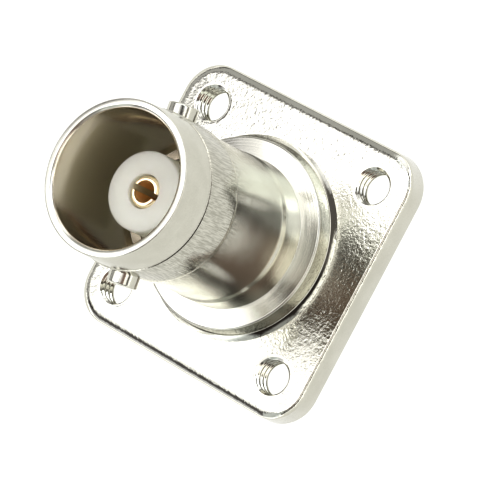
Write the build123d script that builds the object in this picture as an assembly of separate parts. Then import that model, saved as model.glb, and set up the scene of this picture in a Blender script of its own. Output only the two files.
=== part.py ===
from build123d import *
import math
import os

# Coaxial bayonet jack for a panel, with a square flange and a solder cup. Millimetres.
# The origin is the centre of the flange's mounting face, and +Z points to the mating end.
# Heights of the collar and the rim are counted from the flange's front face.

# Flange, with sides that flare towards the mounting face as on a casting
hole_spacing = 12.7
hole_radius = 1.03
flange_margin = 2.45
flange_thickness = 1.6
flange_corner_radius = 2.3
flange_draft_deg = 3.5
flange_edge_round = 0.35

# Sleeve that takes the plug, and the barrel around it
sleeve_bore_radius = 4.07
sleeve_depth = 8.6
mouth_flare = 0.18
mouth_depth = 0.15
sleeve_wall = 0.53
rim_height = 15.05
rim_round = 0.08
nose_taper = 0.2
band_step = 0.2
band_width = 3.4
band_ramp = 0.2
root_step = 0.09
root_length = 1.95

# Collar on the flange, round the foot of the barrel
collar_width = 1.25
collar_height = 1.4
collar_flare = 0.14
collar_edge_round = 0.12
foot_width = 0.32
foot_height = 0.32

# Bayonet studs, pressed into blind seats in the band
stud_radius = 0.9
stud_stand = 0.65
stud_setback = 4.3
stud_angle_deg = 100.0
stud_seat_floor = 0.3
stud_chamfer = 0.1
press_gap = 0.005

# Insulators behind and inside the sleeve
line_bore_radius = 3.45
line_bore_length = 3.6
seat_step = 0.45
insulator_gap = 0.03
nose_insulator_radius = 2.38
nose_insulator_setback = 3.25
nose_insulator_chamfer = 0.12
shoulder_length = 2.0
tail_insulator_radius = 2.2
tail_insulator_stand = 0.3

# Centre contact, a slotted socket in front and a solder cup behind
pin_bore_radius = 0.69
pin_bore_depth = 5.0
pin_lead_in = 0.12
socket_wall = 0.34
socket_chamfer = 0.12
socket_recess = 0.06
socket_hole_gap = 0.06
slot_width = 0.36
slot_length = 4.2
contact_collar_step = 0.57
contact_collar_length = 0.6
cup_bore_radius = 0.6
cup_depth = 2.8
cup_wall = 0.35
cup_cutaway_length = 1.2
tail_length = 3.2
drill_point_deg = 118.0
contact_gap = 0.03

# Spigot and retaining bush behind the flange
spigot_wall = 0.8
spigot_length = 3.2
spigot_chamfer = 0.2
bush_length = 1.4
bush_bore_gap = 0.1

# Radii and widths that follow from the sizes
flange_width = hole_spacing + 2 * flange_margin
barrel_radius = sleeve_bore_radius + sleeve_wall
root_radius = barrel_radius + root_step
band_radius = barrel_radius + band_step
nose_tip_radius = band_radius - nose_taper
mouth_radius = sleeve_bore_radius + mouth_flare
collar_top_radius = root_radius + collar_width
collar_base_radius = collar_top_radius + collar_flare
foot_radius = collar_base_radius + foot_width
stud_tip_radius = band_radius + stud_stand
stud_seat_radius = sleeve_bore_radius + stud_seat_floor
seat_bore_radius = line_bore_radius + seat_step
spigot_radius = seat_bore_radius + spigot_wall
socket_radius = pin_bore_radius + socket_wall
contact_collar_radius = socket_radius + contact_collar_step
tail_radius = cup_bore_radius + cup_wall

# Heights that follow from the sizes, counted from the mounting face
front_face_z = flange_thickness
collar_top_z = front_face_z + collar_height
root_top_z = collar_top_z + root_length
rim_z = front_face_z + rim_height
stud_z = rim_z - stud_setback
band_rear_z = stud_z - band_width / 2
band_front_z = stud_z + band_width / 2
sleeve_floor_z = rim_z - sleeve_depth
line_bore_end_z = sleeve_floor_z - line_bore_length
contact_collar_z = line_bore_end_z - shoulder_length
spigot_end_z = -spigot_length
bush_top_z = spigot_end_z + bush_length
nose_insulator_z = rim_z - nose_insulator_setback
socket_tip_z = nose_insulator_z - socket_recess
tail_insulator_z = spigot_end_z - tail_insulator_stand
tail_end_z = tail_insulator_z - tail_length


def turned(corners):
    """Revolves an outline of (radius, height, rounding) corners round the Z axis."""
    points = [(radius, height) for radius, height, rounding in corners]
    roundings = [rounding for radius, height, rounding in corners]
    outline = FilletPolyline(*points, radius=roundings, close=True)
    return revolve(Plane.XZ * make_face(outline), axis=Axis.Z)


def rod(radius, low_z, high_z):
    """A plain cylinder on the Z axis between two heights."""
    return Pos(0, 0, low_z) * Cylinder(
        radius, high_z - low_z, align=(Align.CENTER, Align.CENTER, Align.MIN)
    )


def flange():
    """Square plate with rounded corners, flared sides, a rounded front edge and four holes."""
    flare = flange_thickness * math.tan(math.radians(flange_draft_deg))
    rear_width = flange_width + 2 * flare
    footprint = RectangleRounded(rear_width, rear_width, flange_corner_radius + flare)
    plate = extrude(footprint, flange_thickness, taper=flange_draft_deg)
    front_edges = plate.faces().sort_by(Axis.Z)[-1].edges()
    plate = fillet(front_edges, flange_edge_round)
    holes = GridLocations(hole_spacing, hole_spacing, 2, 2) * Cylinder(hole_radius, 3 * flange_thickness)
    return plate - holes


def barrel():
    """Everything turned on the body: spigot, collar, barrel, stud band, sleeve and stepped bore."""
    corners = [
        (seat_bore_radius, spigot_end_z, 0),
        (spigot_radius - spigot_chamfer, spigot_end_z, 0),
        (spigot_radius, spigot_end_z + spigot_chamfer, 0),
        (spigot_radius, 0, 0),
        (foot_radius, front_face_z, 0),
        (collar_base_radius, front_face_z + foot_height, 0),
        (collar_top_radius, collar_top_z, collar_edge_round),
        (root_radius, collar_top_z, 0),
        (root_radius, root_top_z, 0),
        (barrel_radius, root_top_z + root_step, 0),
        (barrel_radius, band_rear_z, 0),
        (band_radius, band_rear_z + band_ramp, 0),
        (band_radius, band_front_z, 0),
        (nose_tip_radius, rim_z, rim_round),
        (mouth_radius, rim_z, 0),
        (sleeve_bore_radius, rim_z - mouth_depth, 0),
        (sleeve_bore_radius, sleeve_floor_z, 0),
        (line_bore_radius, sleeve_floor_z, 0),
        (line_bore_radius, line_bore_end_z, 0),
        (seat_bore_radius, line_bore_end_z, 0),
    ]
    return turned(corners)


def stud_places():
    """The two studs face each other across the band, each with its own X axis pointing outwards."""
    return [
        Pos(0, 0, stud_z) * Rot(0, 0, stud_angle_deg + half_turn)
        for half_turn in (0.0, 180.0)
    ]


def stud_rod(radius, inner, outer):
    """A cylinder along +X between two distances from the jack's axis."""
    return Pos(inner, 0, 0) * Rot(0, 90, 0) * Cylinder(
        radius, outer - inner, align=(Align.CENTER, Align.CENTER, Align.MIN)
    )


def jack_body():
    """One plated piece: the flange and all that is turned on it, with blind seats for the studs."""
    body = flange() + barrel()
    # The flange's plate fills the middle, so the bore for the insulators is cut again through it.
    body -= rod(seat_bore_radius, spigot_end_z, line_bore_end_z)
    seat = stud_rod(stud_radius + press_gap, stud_seat_radius, stud_tip_radius)
    for place in stud_places():
        body -= place * seat
    return body


def bayonet_stud(place):
    """A plain pin whose outer end has a small chamfer."""
    pin = stud_rod(stud_radius, stud_seat_radius, stud_tip_radius)
    tip = pin.edges().sort_by(Axis.X)[-1]
    return place * chamfer(tip, stud_chamfer)


def front_insulator():
    """Stepped insulator: a nose in the sleeve, a body in the line bore and a shoulder behind it."""
    line_radius = line_bore_radius - insulator_gap
    seat_radius = seat_bore_radius - insulator_gap
    contact_hole_radius = socket_radius + socket_hole_gap
    corners = [
        (contact_hole_radius, contact_collar_z, 0),
        (seat_radius, contact_collar_z, 0),
        (seat_radius, line_bore_end_z, 0),
        (line_radius, line_bore_end_z, 0),
        (line_radius, sleeve_floor_z, 0),
        (nose_insulator_radius, sleeve_floor_z, 0),
        (nose_insulator_radius, nose_insulator_z - nose_insulator_chamfer, 0),
        (nose_insulator_radius - nose_insulator_chamfer, nose_insulator_z, 0),
        (contact_hole_radius, nose_insulator_z, 0),
    ]
    return turned(corners)


def rear_insulator():
    """Disc that holds the contact's collar in a pocket, with a nose through the bush."""
    seat_radius = seat_bore_radius - insulator_gap
    pocket_radius = contact_collar_radius + contact_gap
    pocket_floor_z = contact_collar_z - contact_collar_length
    tail_hole_radius = tail_radius + contact_gap
    corners = [
        (tail_hole_radius, tail_insulator_z, 0),
        (tail_insulator_radius, tail_insulator_z, 0),
        (tail_insulator_radius, bush_top_z, 0),
        (seat_radius, bush_top_z, 0),
        (seat_radius, contact_collar_z, 0),
        (pocket_radius, contact_collar_z, 0),
        (pocket_radius, pocket_floor_z, 0),
        (tail_hole_radius, pocket_floor_z, 0),
    ]
    return turned(corners)


def retaining_bush():
    """Ring pressed into the spigot, which keeps the insulators and the contact in the body."""
    bore_radius = tail_insulator_radius + bush_bore_gap
    outer_radius = seat_bore_radius - press_gap
    corners = [
        (bore_radius, spigot_end_z, 0),
        (outer_radius, spigot_end_z, 0),
        (outer_radius, bush_top_z, 0),
        (bore_radius, bush_top_z, 0),
    ]
    return turned(corners)


def contact_blank():
    """Outside of the contact, with the collar that the insulators clamp."""
    collar_rear_z = contact_collar_z - contact_collar_length
    corners = [
        (0, tail_end_z, 0),
        (tail_radius, tail_end_z, 0),
        (tail_radius, collar_rear_z, 0),
        (contact_collar_radius, collar_rear_z, 0),
        (contact_collar_radius, contact_collar_z, 0),
        (socket_radius, contact_collar_z, 0),
        (socket_radius, socket_tip_z - socket_chamfer, 0),
        (socket_radius - socket_chamfer, socket_tip_z, 0),
        (0, socket_tip_z, 0),
    ]
    return turned(corners)


def pin_bore():
    """Drilled hole for the plug's pin, with a lead-in at its mouth."""
    floor_z = socket_tip_z - pin_bore_depth
    point_length = pin_bore_radius / math.tan(math.radians(drill_point_deg / 2))
    corners = [
        (0, floor_z - point_length, 0),
        (pin_bore_radius, floor_z, 0),
        (pin_bore_radius, socket_tip_z - pin_lead_in, 0),
        (pin_bore_radius + pin_lead_in, socket_tip_z, 0),
        (0, socket_tip_z, 0),
    ]
    return turned(corners)


def cup_bore():
    """Drilled hole of the solder cup."""
    floor_z = tail_end_z + cup_depth
    point_length = cup_bore_radius / math.tan(math.radians(drill_point_deg / 2))
    corners = [
        (0, tail_end_z, 0),
        (cup_bore_radius, tail_end_z, 0),
        (cup_bore_radius, floor_z, 0),
        (0, floor_z + point_length, 0),
    ]
    return turned(corners)


def centre_contact():
    """Slotted socket in front, collar in the middle, and a solder cup cut away on its upper side."""
    contact = contact_blank() - pin_bore() - cup_bore()
    slot = Pos(0, 0, socket_tip_z) * Box(2 * contact_collar_radius, slot_width, 2 * slot_length)
    cutaway = Pos(0, tail_radius, tail_end_z) * Box(
        2 * contact_collar_radius, 2 * tail_radius, 2 * cup_cutaway_length
    )
    return contact - slot - cutaway


upper_place, lower_place = stud_places()
pieces = {
    "jack_body": jack_body(),
    "bayonet_stud_upper": bayonet_stud(upper_place),
    "bayonet_stud_lower": bayonet_stud(lower_place),
    "front_insulator": front_insulator(),
    "rear_insulator": rear_insulator(),
    "retaining_bush": retaining_bush(),
    "centre_contact": centre_contact(),
}

os.makedirs("parts", exist_ok=True)
for node, piece in pieces.items():
    export_step(piece, f"parts/{node}.step")
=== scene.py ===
import math

import bmesh
import bpy
from mathutils import Matrix, Vector


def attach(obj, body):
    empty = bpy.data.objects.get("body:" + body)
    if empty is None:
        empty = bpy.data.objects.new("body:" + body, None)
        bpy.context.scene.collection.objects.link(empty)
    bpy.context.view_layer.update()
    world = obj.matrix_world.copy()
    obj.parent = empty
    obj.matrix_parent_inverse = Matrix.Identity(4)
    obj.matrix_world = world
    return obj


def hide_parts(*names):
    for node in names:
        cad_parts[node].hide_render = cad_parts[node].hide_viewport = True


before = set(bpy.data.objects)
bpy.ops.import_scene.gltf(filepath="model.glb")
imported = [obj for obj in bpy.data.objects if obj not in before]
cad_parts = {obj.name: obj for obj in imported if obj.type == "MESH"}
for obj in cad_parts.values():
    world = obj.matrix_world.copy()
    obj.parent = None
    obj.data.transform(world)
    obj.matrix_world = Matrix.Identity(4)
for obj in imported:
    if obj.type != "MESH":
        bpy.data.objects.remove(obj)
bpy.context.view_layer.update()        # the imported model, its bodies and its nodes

mm = 0.001               # pieces are shaped in millimetres and shrunk to metres at the end
mergeGap = 0.0005        # points closer than this, in millimetres, become one
slack = 0.001            # for comparing heights, in millimetres
levelNormal = 0.9        # a face is level when its normal's Z is over this
sharpDegrees = 32        # faces that meet at more than this keep a sharp edge
roundSegments = 4        # in each small rounding
print("frame loaded:", ", ".join(sorted(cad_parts)))


# Camera, seen as in the photograph

view = {
    "place": (90.47, 4.99, 149.47),
    "right": (0.74896, 0.46634, -0.47072),
    "down": (0.41347, -0.88405, -0.21796),
    "focalPixels": 2881.5,
    "imagePixels": 500,
    "sensor": 36.0,
    "clip": (0.005, 5.0),    # nearest and farthest thing seen, in metres
}


def setCamera():
    right = Vector(view["right"]).normalized()
    up = -Vector(view["down"])
    back = right.cross(up).normalized()
    up = back.cross(right)
    lens = bpy.data.cameras.new("photoCamera")
    lens.sensor_width = view["sensor"]
    lens.lens = view["focalPixels"] * view["sensor"] / view["imagePixels"]
    lens.clip_start, lens.clip_end = view["clip"]
    camera = bpy.data.objects.new("photoCamera", lens)
    facing = Matrix((right, up, back)).transposed()
    camera.matrix_world = Matrix.Translation(Vector(view["place"]) * mm) @ facing.to_4x4()
    bpy.context.collection.objects.link(camera)
    bpy.context.scene.camera = camera


setCamera()
print("camera placed")


# Small helpers for the finishes and the pieces

class Finish:
    # A material with its nodes, plus short calls that add and join nodes
    def __init__(self, name):
        self.material = bpy.data.materials.new(name)
        self.material.use_nodes = True
        self.nodes = self.material.node_tree.nodes
        self.links = self.material.node_tree.links
        self.shader = self.nodes["Principled BSDF"]

    def feed(self, socket, value):
        # Links another node's output to a socket, or sets a plain value on it
        if isinstance(value, bpy.types.NodeSocket):
            self.links.new(value, socket)
        else:
            socket.default_value = value

    def add(self, kind, sockets, **settings):
        node = self.nodes.new(kind)
        for name, value in settings.items():
            setattr(node, name, value)
        for name, value in sockets.items():
            self.feed(node.inputs[name], value)
        return node

    def join(self, **sockets):
        for name, value in sockets.items():
            self.feed(self.shader.inputs[name.replace("_", " ")], value)

    def maths(self, operation, first, second=0.0, third=0.0):
        sockets = {0: first, 1: second, 2: third}
        return self.add("ShaderNodeMath", sockets, operation=operation).outputs[0]

    def ramp(self, value, span, toLow=0.0, toHigh=1.0):
        # Goes softly from toLow to toHigh while the value goes through the span
        sockets = {
            "Value": value, "From Min": span[0], "From Max": span[1],
            "To Min": toLow, "To Max": toHigh,
        }
        node = self.add("ShaderNodeMapRange", sockets, interpolation_type="SMOOTHSTEP")
        return node.outputs[0]

    def within(self, first, firstSpan, second, secondSpan):
        # 1 where both values are through their spans, and 0 before either of them
        return self.maths("MULTIPLY", self.ramp(first, firstSpan), self.ramp(second, secondSpan))

    def millimetres(self):
        place = self.add("ShaderNodeTexCoord", {}).outputs["Object"]
        sockets = {"Vector": place, "Scale": (1 / mm, 1 / mm, 1 / mm)}
        return self.add("ShaderNodeMapping", sockets).outputs[0]

    def measures(self, where):
        # X, Y and height of a place, and its distance from the jack's axis
        x, y, height = self.add("ShaderNodeSeparateXYZ", {0: where}).outputs
        flat = self.add("ShaderNodeCombineXYZ", {"X": x, "Y": y}).outputs[0]
        length = self.add("ShaderNodeVectorMath", {0: flat}, operation="LENGTH")
        return x, y, height, length.outputs["Value"]

    def noise(self, where, scale, detail=2.0, roughness=0.6, dimensions="3D"):
        socket = "W" if dimensions == "1D" else "Vector"
        sockets = {socket: where, "Scale": scale, "Detail": detail, "Roughness": roughness}
        return self.add("ShaderNodeTexNoise", sockets, noise_dimensions=dimensions).outputs[0]

    def between(self, factor, first, second):
        # Mixes two colours, which are inputs 6 and 7 of the mix node
        node = self.add("ShaderNodeMix", {0: factor}, data_type="RGBA")
        for place, colour in ((6, first), (7, second)):
            plain = isinstance(colour, tuple)
            self.feed(node.inputs[place], (*colour, 1) if plain else colour)
        return node.outputs[2]

    def bump(self, height, depth, under=None):
        # The depth is in millimetres, and under is a bump that this one lies on
        sockets = {"Height": height, "Distance": depth * mm, "Strength": 1.0}
        if under is not None:
            sockets["Normal"] = under
        return self.add("ShaderNodeBump", sockets).outputs[0]


def roundOff(bm, geom, width, segments, affect="EDGES"):
    bmesh.ops.bevel(
        bm, geom=geom, offset=width, offset_type="OFFSET", segments=segments,
        profile=0.5, affect=affect, material=-1,
    )


def outlineWire(bm, corners):
    # Corners are (radius, height, rounding); each rounding is a bevel of its own corner
    verts = [bm.verts.new((radius, 0, height)) for radius, height, rounding in corners]
    for low, high in zip(verts, verts[1:]):
        bm.edges.new((low, high))
    for vert, corner in zip(verts, corners):
        if corner[2]:
            roundOff(bm, [vert], corner[2], roundSegments, "VERTICES")


def turn(bm, corners, steps, closed=False):
    # Spins an outline round the jack's axis
    shape = bmesh.new()
    outlineWire(shape, corners)
    if closed:
        ends = [vert for vert in shape.verts if len(vert.link_edges) == 1]
        shape.edges.new(ends)
    bmesh.ops.spin(
        shape, geom=shape.verts[:] + shape.edges[:], cent=(0, 0, 0), axis=(0, 0, 1),
        dvec=(0, 0, 0), angle=2 * math.pi, steps=steps, use_merge=True, use_duplicate=False,
    )
    bmesh.ops.remove_doubles(shape, verts=shape.verts[:], dist=mergeGap)
    mesh = bpy.data.meshes.new("turned")
    shape.to_mesh(mesh)
    shape.free()
    bm.from_mesh(mesh)
    bpy.data.meshes.remove(mesh)


def meshObject(name, bm):
    bmesh.ops.remove_doubles(bm, verts=bm.verts[:], dist=mergeGap)
    bmesh.ops.recalc_face_normals(bm, faces=bm.faces[:])
    bmesh.ops.scale(bm, vec=(mm, mm, mm), verts=bm.verts[:])
    mesh = bpy.data.meshes.new(name)
    bm.to_mesh(mesh)
    bm.free()
    piece = bpy.data.objects.new(name, mesh)
    bpy.context.collection.objects.link(piece)
    return piece


def cutAway(piece, cutters):
    # Takes the cutters' space out of a piece and keeps the result as its mesh
    for cutter in cutters:
        cut = piece.modifiers.new("cut", "BOOLEAN")
        cut.operation = "DIFFERENCE"
        cut.solver = "EXACT"
        cut.object = cutter
    seen = piece.evaluated_get(bpy.context.evaluated_depsgraph_get())
    mesh = bpy.data.meshes.new_from_object(seen)
    piece.modifiers.clear()
    piece.data = mesh
    for cutter in cutters:
        bpy.data.objects.remove(cutter)


def finishPiece(piece, finish, node):
    piece.data.shade_smooth()
    piece.data.set_sharp_from_angle(angle=math.radians(sharpDegrees))
    piece.data.materials.clear()
    piece.data.materials.append(finish.material)
    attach(piece, "root")
    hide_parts(node)
    print(piece.name, "made,", len(piece.data.polygons), "faces")


# Jack body: flange, collar, barrel, stud band and sleeve in one

flange = {
    "width": 17.6,
    "draft": 3.5,            # degrees by which the walls lean
    "thickness": 1.6,
    "cornerRadius": 2.4,
    "cornerSteps": 14,
    "edgeWidth": 0.6,        # the front edge falls away over this width
    "edgeDrop": 0.26,        # and by this much
    "edgeSteps": 8,
    "edgeRound": 0.1,        # then it rounds into the wall
    "roundDegrees": (15, 30, 45),    # where that rounding has its rings
    "tightSide": 0.4,        # on the +X side the edge keeps this share of its width
    "tightFrom": 0.3,        # it narrows where the outward direction's X passes this
    "tightOver": 0.6,        # and is narrowest this much later
    "coreReach": 0.1,        # points nearer than this to the plate's square core stay put
    "rearEdge": 0.08,
    "rearSteps": 2,
    "faceRing": 0.06,        # narrow ring that keeps the flat faces' shading flat
}
holes = {
    "spacing": 12.7,
    "crestRadius": 1.03,
    "threadDepth": 0.2,
    "pitch": 0.4536,
    "around": 64,
    "rows": 52,
    "runOut": 0.22,          # the thread fades out over this height at both ends
    "chamferWidth": 0.15,
    "chamferDepth": 0.12,
    "margin": 0.01,          # a hole's own points lie no further than this outside its crest
}
body = {
    "steps": 240,
    # (radius, height, rounding) from the foot on the flange's front to the spigot on its back
    "outline": [
        (6.40, 1.60, 0), (6.08, 1.92, 0.05), (5.94, 3.00, 0.12), (4.69, 3.00, 0.03),
        (4.69, 4.75, 0.12), (4.60, 5.20, 0.12), (4.60, 10.62, 0.02), (4.80, 10.95, 0.28),
        (4.80, 14.00, 0.02), (4.73, 14.08, 0.02), (4.60, 16.65, 0.08), (4.25, 16.65, 0.04),
        (4.07, 16.50, 0.06), (4.07, 8.05, 0.06), (3.45, 8.05, 0.03), (3.45, 4.45, 0),
        (3.90, 4.45, 0), (3.90, -3.20, 0.06), (4.50, -3.20, 0.03), (4.70, -3.00, 0.03),
        (4.70, 0.00, 0),
    ],
}


def largestFace(bm, up):
    # The largest of the faces that look along +Z, or along -Z where up is -1
    bm.normal_update()
    level = [face for face in bm.faces if face.normal.z * up > levelNormal]
    return max(level, key=lambda face: face.calc_area())


def insetLargest(bm, up, width, rise=0):
    bmesh.ops.inset_region(
        bm, faces=[largestFace(bm, up)], thickness=width, depth=rise, use_even_offset=True,
    )


def isUpright(edge):
    low, high = edge.verts
    return abs(low.co.z - high.co.z) > flange["thickness"] / 2


def tightenEdge(bm, rear, wallTop):
    # Draws the rolled edge together on the +X side, and eases it round both corners
    radius = flange["cornerRadius"] - wallTop * math.tan(math.radians(flange["draft"]))
    core = rear / 2 - flange["cornerRadius"]
    for vert in bm.verts:
        x, y, z = vert.co
        if z < wallTop + slack:
            continue
        middle = Vector((min(max(x, -core), core), min(max(y, -core), core), z))
        arm = vert.co - middle
        if arm.length < flange["coreReach"] or arm.x <= 0:
            continue
        outward = arm.normalized()
        share = min(1, max(0, (outward.x - flange["tightFrom"]) / flange["tightOver"]))
        narrow = 1 - (1 - flange["tightSide"]) * share * share * (3 - 2 * share)
        vert.co = middle + outward * (radius - (radius - arm.length) * narrow)


def edgeRings():
    # How far in and up each ring of the front edge lies, counted from the top of the wall
    rings = []
    for degrees in flange["roundDegrees"]:
        angle = math.radians(degrees)
        inward = flange["edgeRound"] * (1 - math.cos(angle))
        rings.append((inward, flange["edgeRound"] * math.sin(angle)))
    inRound, upRound = rings[-1]
    for step in range(1, flange["edgeSteps"] + 1):
        share = step / flange["edgeSteps"]
        inward = inRound + flange["edgeWidth"] * share
        rings.append((inward, upRound + flange["edgeDrop"] * share * (2 - share)))
    return rings


def flangePlate(bm):
    lean = math.tan(math.radians(flange["draft"]))
    rear = flange["width"] + 2 * flange["thickness"] * lean
    rings = edgeRings()
    wallTop = flange["thickness"] - rings[-1][1]
    size = Matrix.Diagonal((rear, rear, wallTop, 1))
    block = Matrix.Translation((0, 0, wallTop / 2)) @ size
    bmesh.ops.create_cube(bm, size=1, matrix=block)
    upright = [edge for edge in bm.edges if isUpright(edge)]
    roundOff(bm, upright, flange["cornerRadius"], flange["cornerSteps"])
    front = largestFace(bm, 1)
    narrower = (rear - 2 * wallTop * lean) / rear
    bmesh.ops.scale(bm, vec=(narrower, narrower, 1), verts=front.verts[:])
    # The front edge rolls over in rings, each an inset that also rises
    inWas, upWas = 0.0, 0.0
    for inNow, upNow in rings:
        insetLargest(bm, 1, inNow - inWas, upNow - upWas)
        inWas, upWas = inNow, upNow
    insetLargest(bm, 1, flange["faceRing"])
    tightenEdge(bm, rear, wallTop)
    rearFace = largestFace(bm, -1)
    roundOff(bm, rearFace.edges[:], flange["rearEdge"], flange["rearSteps"])
    insetLargest(bm, -1, flange["faceRing"])
    # Both flat faces are filled again later, round the holes
    bmesh.ops.delete(bm, geom=[largestFace(bm, 1), largestFace(bm, -1)], context="FACES_ONLY")


def threadedHole(bm, x, y):
    # A tube whose points move out into one spiral groove, with a chamfer at each end
    tall, crest = flange["thickness"], holes["crestRadius"]
    tube = bmesh.ops.create_cone(
        bm, cap_ends=False, segments=holes["around"], radius1=crest, radius2=crest,
        depth=tall, matrix=Matrix.Translation((x, y, tall / 2)),
    )["verts"]
    upright = {edge for vert in tube for edge in vert.link_edges if isUpright(edge)}
    bmesh.ops.subdivide_edges(
        bm, edges=list(upright), cuts=holes["rows"] - 1, use_grid_fill=True,
    )
    centre = Vector((x, y, 0))
    for vert in bm.verts:
        if (vert.co.xy - centre.xy).length > crest + holes["margin"]:
            continue
        height = vert.co.z
        arm = Vector((vert.co.x - x, vert.co.y - y, 0)).normalized()
        phase = (height / holes["pitch"] - math.atan2(arm.y, arm.x) / (2 * math.pi)) % 1
        groove = (1 - math.cos(2 * math.pi * phase)) / 2
        groove *= min(1, height / holes["runOut"], (tall - height) / holes["runOut"])
        deep = holes["threadDepth"] * max(0, groove)
        toEnd = min(height, tall - height)
        wide = holes["chamferWidth"] * (1 - toEnd / holes["chamferDepth"])
        vert.co = centre + arm * (crest + max(deep, wide, 0)) + Vector((0, 0, height))


def fillPlane(bm, height, up):
    rims = [
        edge for edge in bm.edges
        if edge.is_boundary and all(abs(vert.co.z - height) < slack for vert in edge.verts)
    ]
    bmesh.ops.triangle_fill(bm, edges=rims, use_beauty=True, normal=(0, 0, up))


def jackBody(finish):
    bm = bmesh.new()
    flangePlate(bm)
    away = holes["spacing"] / 2
    for x in (-away, away):
        for y in (-away, away):
            threadedHole(bm, x, y)
    turn(bm, body["outline"], body["steps"])
    fillPlane(bm, flange["thickness"], 1)
    fillPlane(bm, 0, -1)
    piece = meshObject("platedBody", bm)
    finishPiece(piece, finish, "jack_body")


# Bayonet studs

stud = {
    "radius": 0.9,
    "around": 64,
    "inner": 4.37,           # ends of the pin, counted from the jack's axis
    "outer": 5.45,
    "height": 12.35,
    "angle": 100.0,
    "edge": 0.1,
}


def bayonetStud(name, angle, finish, node):
    bm = bmesh.new()
    length = stud["outer"] - stud["inner"]
    middle = Matrix.Translation((stud["inner"] + length / 2, 0, stud["height"]))
    bmesh.ops.create_cone(
        bm, cap_ends=True, cap_tris=False, segments=stud["around"], radius1=stud["radius"],
        radius2=stud["radius"], depth=length, matrix=middle @ Matrix.Rotation(math.pi / 2, 4, "Y"),
    )
    tip = stud["outer"] - slack
    rim = [edge for edge in bm.edges if all(vert.co.x > tip for vert in edge.verts)]
    roundOff(bm, rim, stud["edge"], roundSegments)
    around = Matrix.Rotation(math.radians(angle), 3, "Z")
    bmesh.ops.rotate(bm, cent=(0, 0, 0), matrix=around, verts=bm.verts[:])
    finishPiece(meshObject(name, bm), finish, node)


# Insulators, bush and contact, with outlines of (radius, height, rounding)

insulators = {
    "steps": 160,
    "nose": [
        (1.09, 2.45, 0), (3.87, 2.45, 0.05), (3.87, 4.45, 0.05), (3.42, 4.45, 0),
        (3.42, 8.05, 0.04), (2.38, 8.05, 0.03), (2.38, 13.40, 0.12), (1.02, 13.40, 0.04),
        (1.02, 12.80, 0), (1.09, 12.70, 0),
    ],
    "tail": [
        (0.98, -3.50, 0.03), (2.20, -3.50, 0.08), (2.20, -1.80, 0), (3.87, -1.80, 0.03),
        (3.87, 2.45, 0.03), (1.63, 2.45, 0), (1.63, 1.85, 0), (0.98, 1.85, 0),
    ],
}
bush = {
    "steps": 160,
    "outline": [(2.30, -3.20, 0.06), (3.895, -3.20, 0.06), (3.895, -1.80, 0), (2.30, -1.80, 0)],
}
contact = {
    "steps": 128,
    # From the floor of the solder cup, round the outside, to the floor of the socket
    "outline": [
        (0, -3.5394, 0), (0.6, -3.90, 0), (0.6, -6.70, 0.03), (0.95, -6.70, 0.04),
        (0.95, 1.85, 0), (1.60, 1.85, 0.04), (1.60, 2.45, 0.04), (1.03, 2.45, 0),
        (1.03, 11.00, 0.2), (0.95, 13.20, 0.04), (0.80, 13.34, 0.04), (0.65, 13.34, 0.03),
        (0.69, 11.40, 0), (0.69, 8.34, 0.02), (0, 7.9254, 0),
    ],
    "slotWidth": 0.36,
    "slotFloor": 9.14,
    "cupEnd": -5.5,          # below this the cup is cut away on its +Y side
    "cutReach": 3,           # the cutters end outside the contact, here and at these heights
    "cutTop": 15,
    "cutBottom": -8,
}


def turnedPiece(name, outline, steps, finish, node):
    bm = bmesh.new()
    turn(bm, outline, steps, closed=True)
    finishPiece(meshObject(name, bm), finish, node)


def boxCutter(name, low, high):
    bm = bmesh.new()
    low, high = Vector(low), Vector(high)
    size = Matrix.Diagonal((*(high - low), 1))
    bmesh.ops.create_cube(bm, size=1, matrix=Matrix.Translation((low + high) / 2) @ size)
    return meshObject(name, bm)


def centreContact(finish):
    bm = bmesh.new()
    turn(bm, contact["outline"], contact["steps"])
    piece = meshObject("goldContact", bm)
    half, reach = contact["slotWidth"] / 2, contact["cutReach"]
    slotLow, slotHigh = (-reach, -half, contact["slotFloor"]), (reach, half, contact["cutTop"])
    cupLow, cupHigh = (-reach, 0, contact["cutBottom"]), (reach, reach, contact["cupEnd"])
    slot = boxCutter("slotCutter", slotLow, slotHigh)
    cup = boxCutter("cupCutter", cupLow, cupHigh)
    cutAway(piece, [slot, cup])
    finishPiece(piece, finish, "centre_contact")


# Finishes; scales are per millimetre, depths in millimetres, and a span is where a change runs

cloudSpan = (0.3, 0.7)       # of a noise, from its dark to its light patches
nickel = {
    "light": (0.66, 0.65, 0.585),
    "dull": (0.60, 0.59, 0.525),
    "drawn": (0.46, 0.45, 0.395),
    # painted light: this lighter, warmer colour within the sleeve stands for light bounced round
    # in it
    "inside": (0.76, 0.71, 0.61),
    "smooth": 0.11,
    "rough": 0.20,
    "patchScale": 0.35,
    "fineScale": 14.0,
    "fineShare": 0.5,
    "toneSpan": (0.55, 0.95),
    "roughSpan": (0.3, 0.75),
    "barrelRough": 0.05,     # the barrel is duller by this much
    "collarShine": 0.5,      # and the collar's roughness is this share
    "turningScale": 7.0,
    "turningLean": 1.37,     # height counts for this much, so that a wall has marks too
    "turningGrain": 0.25,
    "turningDepth": 0.003,
    "strokeScale": 13.0,     # short marks drawn along the axis
    "strokeStretch": 0.1,
    "strokeSpan": (0.36, 0.64),
    "strokeDepth": 0.004,
    "pebbleScale": 6.5,      # the tumbled flange
    "pitScale": 3.6,
    "pitShare": 0.6,
    "pebbleDepth": 0.014,
    "rollPebbles": 0.06,     # share of the pebbling that is left on the rolled edge
    "flangeRough": 0.05,
    "flangeFall": 0.10,      # the tumbled front falls away a little towards its edges
}
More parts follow.
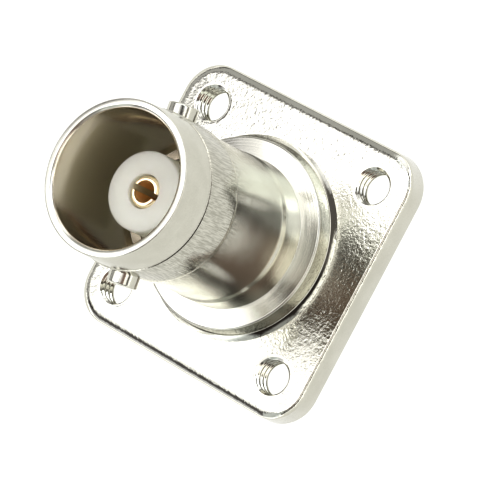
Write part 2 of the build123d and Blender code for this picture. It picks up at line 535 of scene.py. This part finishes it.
zones = {
    "bandRear": (9.2, 10.8),       # heights
    "bandFront": (14.25, 14.0),
    "barrelRear": (4.8, 5.2),
    "barrelFront": (10.8, 10.4),
    "collar": (2.98, 2.9),
    "plateTop": (1.95, 1.75),
    "roll": (1.42, 1.59),
    "sleeveRear": (3.0, 4.0),
    "sleeveWall": (4.22, 4.12),    # distances from the axis
    "plateStart": (6.2, 6.5),
    "holeRim": (1.2, 1.35),        # distance from the hole's axis
    "fall": (5.9, 8.5),            # distance from the flange's middle lines
}
plastic = {
    "light": (0.88, 0.90, 0.785),
    "dull": (0.86, 0.88, 0.765),
    "cloudScale": 0.9,
    "smooth": 0.38,
    "rough": 0.5,
    "lightDepth": 1.8,       # how far light wanders under the surface
    "grainScale": 7.0,
    "grainDepth": 0.004,
}
plating = {
    "light": (1.0, 0.76, 0.40),
    "deep": (0.92, 0.62, 0.26),
    # painted highlight: the pale colour of the contact's rim
    "rim": (1.0, 0.88, 0.64),
    # painted light: the lighter colour of the contact's bore stands for light bounced within it
    "bore": (1.0, 0.80, 0.50),
    "patchScale": 1.2,
    "smooth": 0.14,
    "rough": 0.28,
    "boreRough": 0.45,       # added in the bore
    "grainScale": 9.0,
    "grainDepth": 0.002,
    "rimFrom": (13.05, 13.2),      # heights
    "boreMouth": (13.3, 13.15),
    "boreWall": (0.74, 0.70),      # distance from the axis
}


def nickelPlate(name, turned=True, plate=False):
    finish = Finish(name)
    where = finish.millimetres()
    patches = finish.noise(where, nickel["patchScale"], detail=3)
    fine = finish.noise(where, nickel["fineScale"])
    stain = finish.maths("MULTIPLY_ADD", fine, nickel["fineShare"], patches)
    colour = finish.between(
        finish.ramp(stain, nickel["toneSpan"]), nickel["light"], nickel["dull"],
    )
    rough = finish.ramp(patches, nickel["roughSpan"], nickel["smooth"], nickel["rough"])
    if not turned:
        grain = finish.bump(fine, nickel["turningDepth"])
        finish.join(Metallic=1.0, Base_Color=colour, Normal=grain, Roughness=rough)
        return finish
    # Turning marks run round the axis, on the walls and on the faces alike
    x, y, height, radius = finish.measures(where)
    along = finish.maths("ADD", radius, finish.maths("MULTIPLY", height, nickel["turningLean"]))
    marks = finish.noise(
        along, nickel["turningScale"], detail=3, roughness=0.7, dimensions="1D",
    )
    marks = finish.maths("MULTIPLY_ADD", fine, nickel["turningGrain"], marks)
    lathe = finish.bump(marks, nickel["turningDepth"])
    # Behind the nose the wall is drawn in short strokes along the axis
    sockets = {"Vector": where, "Scale": (1.0, 1.0, nickel["strokeStretch"])}
    drawn = finish.add("ShaderNodeMapping", sockets).outputs[0]
    strokes = finish.noise(drawn, nickel["strokeScale"])
    onBand = finish.within(height, zones["bandRear"], height, zones["bandFront"])
    strokesOnBand = finish.maths("MULTIPLY", strokes, onBand)
    drag = finish.bump(strokesOnBand, nickel["strokeDepth"], lathe)
    worn = finish.maths("MULTIPLY", onBand, finish.ramp(strokes, nickel["strokeSpan"]))
    colour = finish.between(worn, colour, nickel["drawn"])
    # The sleeve's inside is painted lighter and warmer: painted light standing for the light
    # bounced round within it
    paintedGlowMask = finish.within(radius, zones["sleeveWall"], height, zones["sleeveRear"])
    colour = finish.between(paintedGlowMask, colour, nickel["inside"])
    finish.join(Metallic=1.0, Base_Color=colour)
    onBarrel = finish.within(height, zones["barrelRear"], height, zones["barrelFront"])
    rough = finish.maths("MULTIPLY_ADD", onBarrel, nickel["barrelRough"], rough)
    shine = finish.ramp(height, zones["collar"], 1.0, nickel["collarShine"])
    rough = finish.maths("MULTIPLY", rough, shine)
    if not plate:
        finish.join(Normal=drag, Roughness=rough)
        return finish
    # The flange's front is pebbled from tumbling, down to its rolled edge
    onPlate = finish.within(radius, zones["plateStart"], height, zones["plateTop"])
    level = finish.ramp(height, zones["roll"], nickel["rollPebbles"], 1.0)
    onFace = finish.maths("MULTIPLY", onPlate, level)
    # The pebbling stops at the holes
    away = holes["spacing"] / 2
    besideX, besideY = finish.maths("ABSOLUTE", x), finish.maths("ABSOLUTE", y)
    fromX = finish.maths("SUBTRACT", besideX, away)
    fromY = finish.maths("SUBTRACT", besideY, away)
    squares = finish.maths("MULTIPLY_ADD", fromX, fromX, finish.maths("POWER", fromY, 2.0))
    clear = finish.ramp(finish.maths("SQRT", squares), zones["holeRim"])
    onFace = finish.maths("MULTIPLY", onFace, clear)
    pebbles = finish.noise(where, nickel["pebbleScale"])
    sockets = {"Vector": where, "Scale": nickel["pitScale"]}
    pits = finish.add("ShaderNodeTexVoronoi", sockets, feature="SMOOTH_F1").outputs["Distance"]
    relief = finish.maths("MULTIPLY_ADD", pits, nickel["pitShare"], pebbles)
    relief = finish.maths("MULTIPLY", relief, onFace)
    tumbled = finish.bump(relief, nickel["pebbleDepth"], drag)
    reach = finish.maths("MAXIMUM", besideX, besideY)
    fall = finish.ramp(reach, zones["fall"], 1.0, 0.0)
    finish.join(Normal=finish.bump(fall, nickel["flangeFall"], tumbled))
    finish.join(Roughness=finish.ramp(onPlate, (0, 1), rough, nickel["flangeRough"]))
    return finish


def whiteInsulator():
    finish = Finish("whiteFluoropolymer")
    where = finish.millimetres()
    clouds = finish.noise(where, plastic["cloudScale"], detail=3)
    tone = finish.ramp(clouds, cloudSpan)
    finish.join(Base_Color=finish.between(tone, plastic["light"], plastic["dull"]))
    finish.join(Roughness=finish.ramp(clouds, cloudSpan, plastic["smooth"], plastic["rough"]))
    finish.join(Subsurface_Weight=1.0, Subsurface_Radius=(1.0, 1.0, 1.0))
    finish.join(Subsurface_Scale=plastic["lightDepth"] * mm)
    grain = finish.noise(where, plastic["grainScale"], detail=3)
    finish.join(Normal=finish.bump(grain, plastic["grainDepth"]))
    return finish


def goldPlate():
    finish = Finish("goldPlate")
    where = finish.millimetres()
    height, radius = finish.measures(where)[2:]
    patches = finish.noise(where, plating["patchScale"], detail=3)
    colour = finish.between(patches, plating["light"], plating["deep"])
    # The rim's colour is painted pale as a painted highlight, and the bore's colour is painted
    # lighter as painted light bounced within it; the bore is left matt from the drill
    paintedRimMask = finish.ramp(height, plating["rimFrom"])
    inBore = finish.within(radius, plating["boreWall"], height, plating["boreMouth"])
    colour = finish.between(paintedRimMask, colour, plating["rim"])
    # painted light: the bore takes its lighter colour here
    colour = finish.between(inBore, colour, plating["bore"])
    finish.join(Metallic=1.0, Base_Color=colour)
    rough = finish.ramp(patches, cloudSpan, plating["smooth"], plating["rough"])
    finish.join(Roughness=finish.maths("MULTIPLY_ADD", inBore, plating["boreRough"], rough))
    grain = finish.noise(where, plating["grainScale"])
    finish.join(Normal=finish.bump(grain, plating["grainDepth"]))
    return finish


bodyNickel = nickelPlate("bodyNickel", plate=True)
studNickel = nickelPlate("studNickel", turned=False)
bushNickel = nickelPlate("bushNickel")
fluoropolymer = whiteInsulator()
gold = goldPlate()
print("finishes made")

jackBody(bodyNickel)
bayonetStud("studUpper", stud["angle"], studNickel, "bayonet_stud_upper")
bayonetStud("studLower", stud["angle"] + 180, studNickel, "bayonet_stud_lower")
for pieceName, part, node in (
    ("noseInsulator", "nose", "front_insulator"),
    ("tailInsulator", "tail", "rear_insulator"),
):
    turnedPiece(
        pieceName, insulators[part], insulators["steps"], fluoropolymer, node,
    )
turnedPiece(
    "bushRing", bush["outline"], bush["steps"], bushNickel, "retaining_bush",
)
centreContact(gold)


# Floor and light

studio = {
    "floorHeight": -6.7,
    "floorHalf": 1500,
    "floorCells": 8,
    "floorColour": (0.05, 0.05, 0.05),
    "floorShade": 0.985,                     # the paper's grain goes down to this share
    "floorGrain": 0.4,
    "floorRough": 0.9,
    "floorGlow": (1.04, 1.04, 1.02),
    "room": (0.06, 0.05, 0.045),             # what the plating mirrors where no light is
    "contrast": 0.72,                        # gamma of the picture, under 1 for more contrast
    "ovalDepth": 2,                          # of each oval, along the line to its middle
    # Soft oval lights: azimuth, elevation, half width, half height (degrees), softness, colour
    "lights": [
        (192, 72, 32, 17, 1.25, (1.50, 1.50, 1.56)),     # overhead, seen in the flange
        (222, 50, 26, 12, 1.25, (1.40, 1.42, 1.46)),
        (180, 48, 14, 8, 1.6, (0.20, 0.20, 0.21)),
        (125, 70, 20, 11, 1.5, (0.75, 0.76, 0.80)),
        (0, 90, 14, 13, 1.5, (0.80, 0.81, 0.84)),
        (10, 76, 13, 8, 1.4, (0.80, 0.81, 0.84)),        # seen where the flange falls away
        (92, 47, 16, 11, 1.4, (1.90, 2.00, 2.10)),       # beside the upper stud
        (95, 26, 14, 12, 1.5, (1.06, 1.08, 1.14)),
        (150, 27, 45, 13, 1.35, (0.68, 0.69, 0.70)),     # grey wall, seen in the rolled edges
        (240, 24, 20, 12, 1.5, (0.16, 0.16, 0.17)),
        (52, 47, 14, 10, 1.5, (0.28, 0.29, 0.30)),
        (55, 43, 18, 8, 1.3, (1.50, 1.56, 1.70)),        # seen in the collar's side
        (50, 23, 34, 9, 1.5, (0.17, 0.165, 0.16)),       # and in its foot
        (268, 24, 14, 18, 1.4, (0.75, 0.80, 0.82)),      # beside the lower stud
        (300, 33, 14, 10, 1.5, (0.50, 0.52, 0.52)),
        (35, 3, 80, 8, 1.7, (2.00, 2.00, 2.00)),         # pale horizon
        (240, 4, 30, 8, 1.7, (0.90, 0.92, 0.98)),
        (338, 56, 22, 12, 1.5, (0.35, 0.265, 0.235)),    # the warm side of the room
        (2, 37, 26, 8, 1.4, (1.80, 1.80, 1.76)),
    ],
}


def floorSheet():
    bm = bmesh.new()
    cells = studio["floorCells"]
    bmesh.ops.create_grid(bm, x_segments=cells, y_segments=cells, size=studio["floorHalf"])
    bmesh.ops.translate(bm, vec=(0, 0, studio["floorHeight"]), verts=bm.verts[:])
    floor = meshObject("paperFloor", bm)
    finish = Finish("whitePaper")
    grain = finish.noise(finish.millimetres(), studio["floorGrain"], detail=3)
    colour = studio["floorColour"]
    shaded = tuple(part * studio["floorShade"] for part in colour)
    paper = finish.between(grain, colour, shaded)
    finish.join(Base_Color=paper, Roughness=studio["floorRough"])
    finish.join(Emission_Color=(*studio["floorGlow"], 1), Emission_Strength=1.0)
    floor.data.materials.append(finish.material)


def softLight():
    world = bpy.data.worlds.new("studio")
    bpy.context.scene.world = world
    world.use_nodes = True
    nodes, links = world.node_tree.nodes, world.node_tree.links
    direction = nodes.new("ShaderNodeTexCoord").outputs["Generated"]

    def blend(under, colour, factor, kind):
        mix = nodes.new("ShaderNodeMix")
        mix.data_type = "RGBA"
        mix.blend_type = kind
        links.new(factor, mix.inputs[0])
        if isinstance(under, tuple):
            mix.inputs[6].default_value = (*under, 1)
        else:
            links.new(under, mix.inputs[6])
        mix.inputs[7].default_value = (*colour, 1)
        return mix.outputs[2]

    light = studio["room"]
    for azimuth, elevation, halfWidth, halfHeight, softness, colour in studio["lights"]:
        around, lift = math.radians(azimuth), math.radians(elevation)
        wide, high = math.sin(math.radians(halfWidth)), math.sin(math.radians(halfHeight))
        # The direction is measured from the oval's centre, in its own widths and heights
        oval = nodes.new("ShaderNodeMapping")
        oval.vector_type = "TEXTURE"
        oval.inputs["Location"].default_value = (
            math.cos(lift) * math.cos(around), math.cos(lift) * math.sin(around), math.sin(lift),
        )
        oval.inputs["Rotation"].default_value = (0, -lift, around)
        oval.inputs["Scale"].default_value = (studio["ovalDepth"], wide, high)
        links.new(direction, oval.inputs["Vector"])
        reach = nodes.new("ShaderNodeVectorMath")
        reach.operation = "LENGTH"
        links.new(oval.outputs[0], reach.inputs[0])
        # Full inside the oval, and gone at softness times its size
        fade = nodes.new("ShaderNodeMapRange")
        fade.interpolation_type = "SMOOTHSTEP"
        fade.inputs["From Min"].default_value = softness
        fade.inputs["From Max"].default_value = 1.0
        links.new(reach.outputs["Value"], fade.inputs["Value"])
        light = blend(light, colour, fade.outputs[0], "ADD")
    # The camera itself sees white paper all round
    toCamera = nodes.new("ShaderNodeLightPath").outputs["Is Camera Ray"]
    light = blend(light, (1, 1, 1), toCamera, "MIX")
    links.new(light, nodes["Background"].inputs["Color"])


floorSheet()
softLight()
bpy.context.scene.view_settings.view_transform = "Standard"
bpy.context.scene.view_settings.gamma = studio["contrast"]
print("floor and light set")
